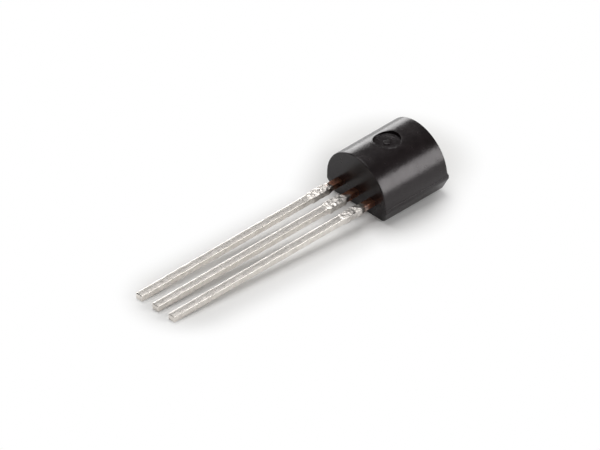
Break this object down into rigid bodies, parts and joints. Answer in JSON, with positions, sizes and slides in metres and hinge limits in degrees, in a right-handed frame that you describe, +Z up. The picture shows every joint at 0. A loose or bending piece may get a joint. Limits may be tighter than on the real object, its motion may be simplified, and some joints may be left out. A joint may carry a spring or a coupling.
{
  "type": "voltage regulator",
  "caption": "Small through-hole voltage regulator: black moulded body with a flat face and a round back, on long straight parallel tinned leads.",
  "frame": {"origin": "on the surface that it lies on, under the middle of its length", "axes": "+X along the leads towards the closed end of the body, +Y across the row of leads, +Z up, out of the round back"},
  "size_m": [0.0192, 0.0046, 0.0036],
  "materials": {
    "mould_compound": "satin black epoxy moulding compound",
    "tinned_copper": "dull bright solder tin over copper",
    "silicon": "polished silicon",
    "die_bond": "matt silver-filled bond",
    "gold_wire": "drawn gold"
  },
  "bodies": {
    "root": {"package_body": "mould_compound", "left_lead": "tinned_copper", "centre_lead": "tinned_copper", "right_lead": "tinned_copper", "silicon_die": "silicon", "die_attach": "die_bond", "left_bond_wire": "gold_wire", "right_bond_wire": "gold_wire", "ground_bond_wire": "gold_wire"}
  },
  "joints": []
}
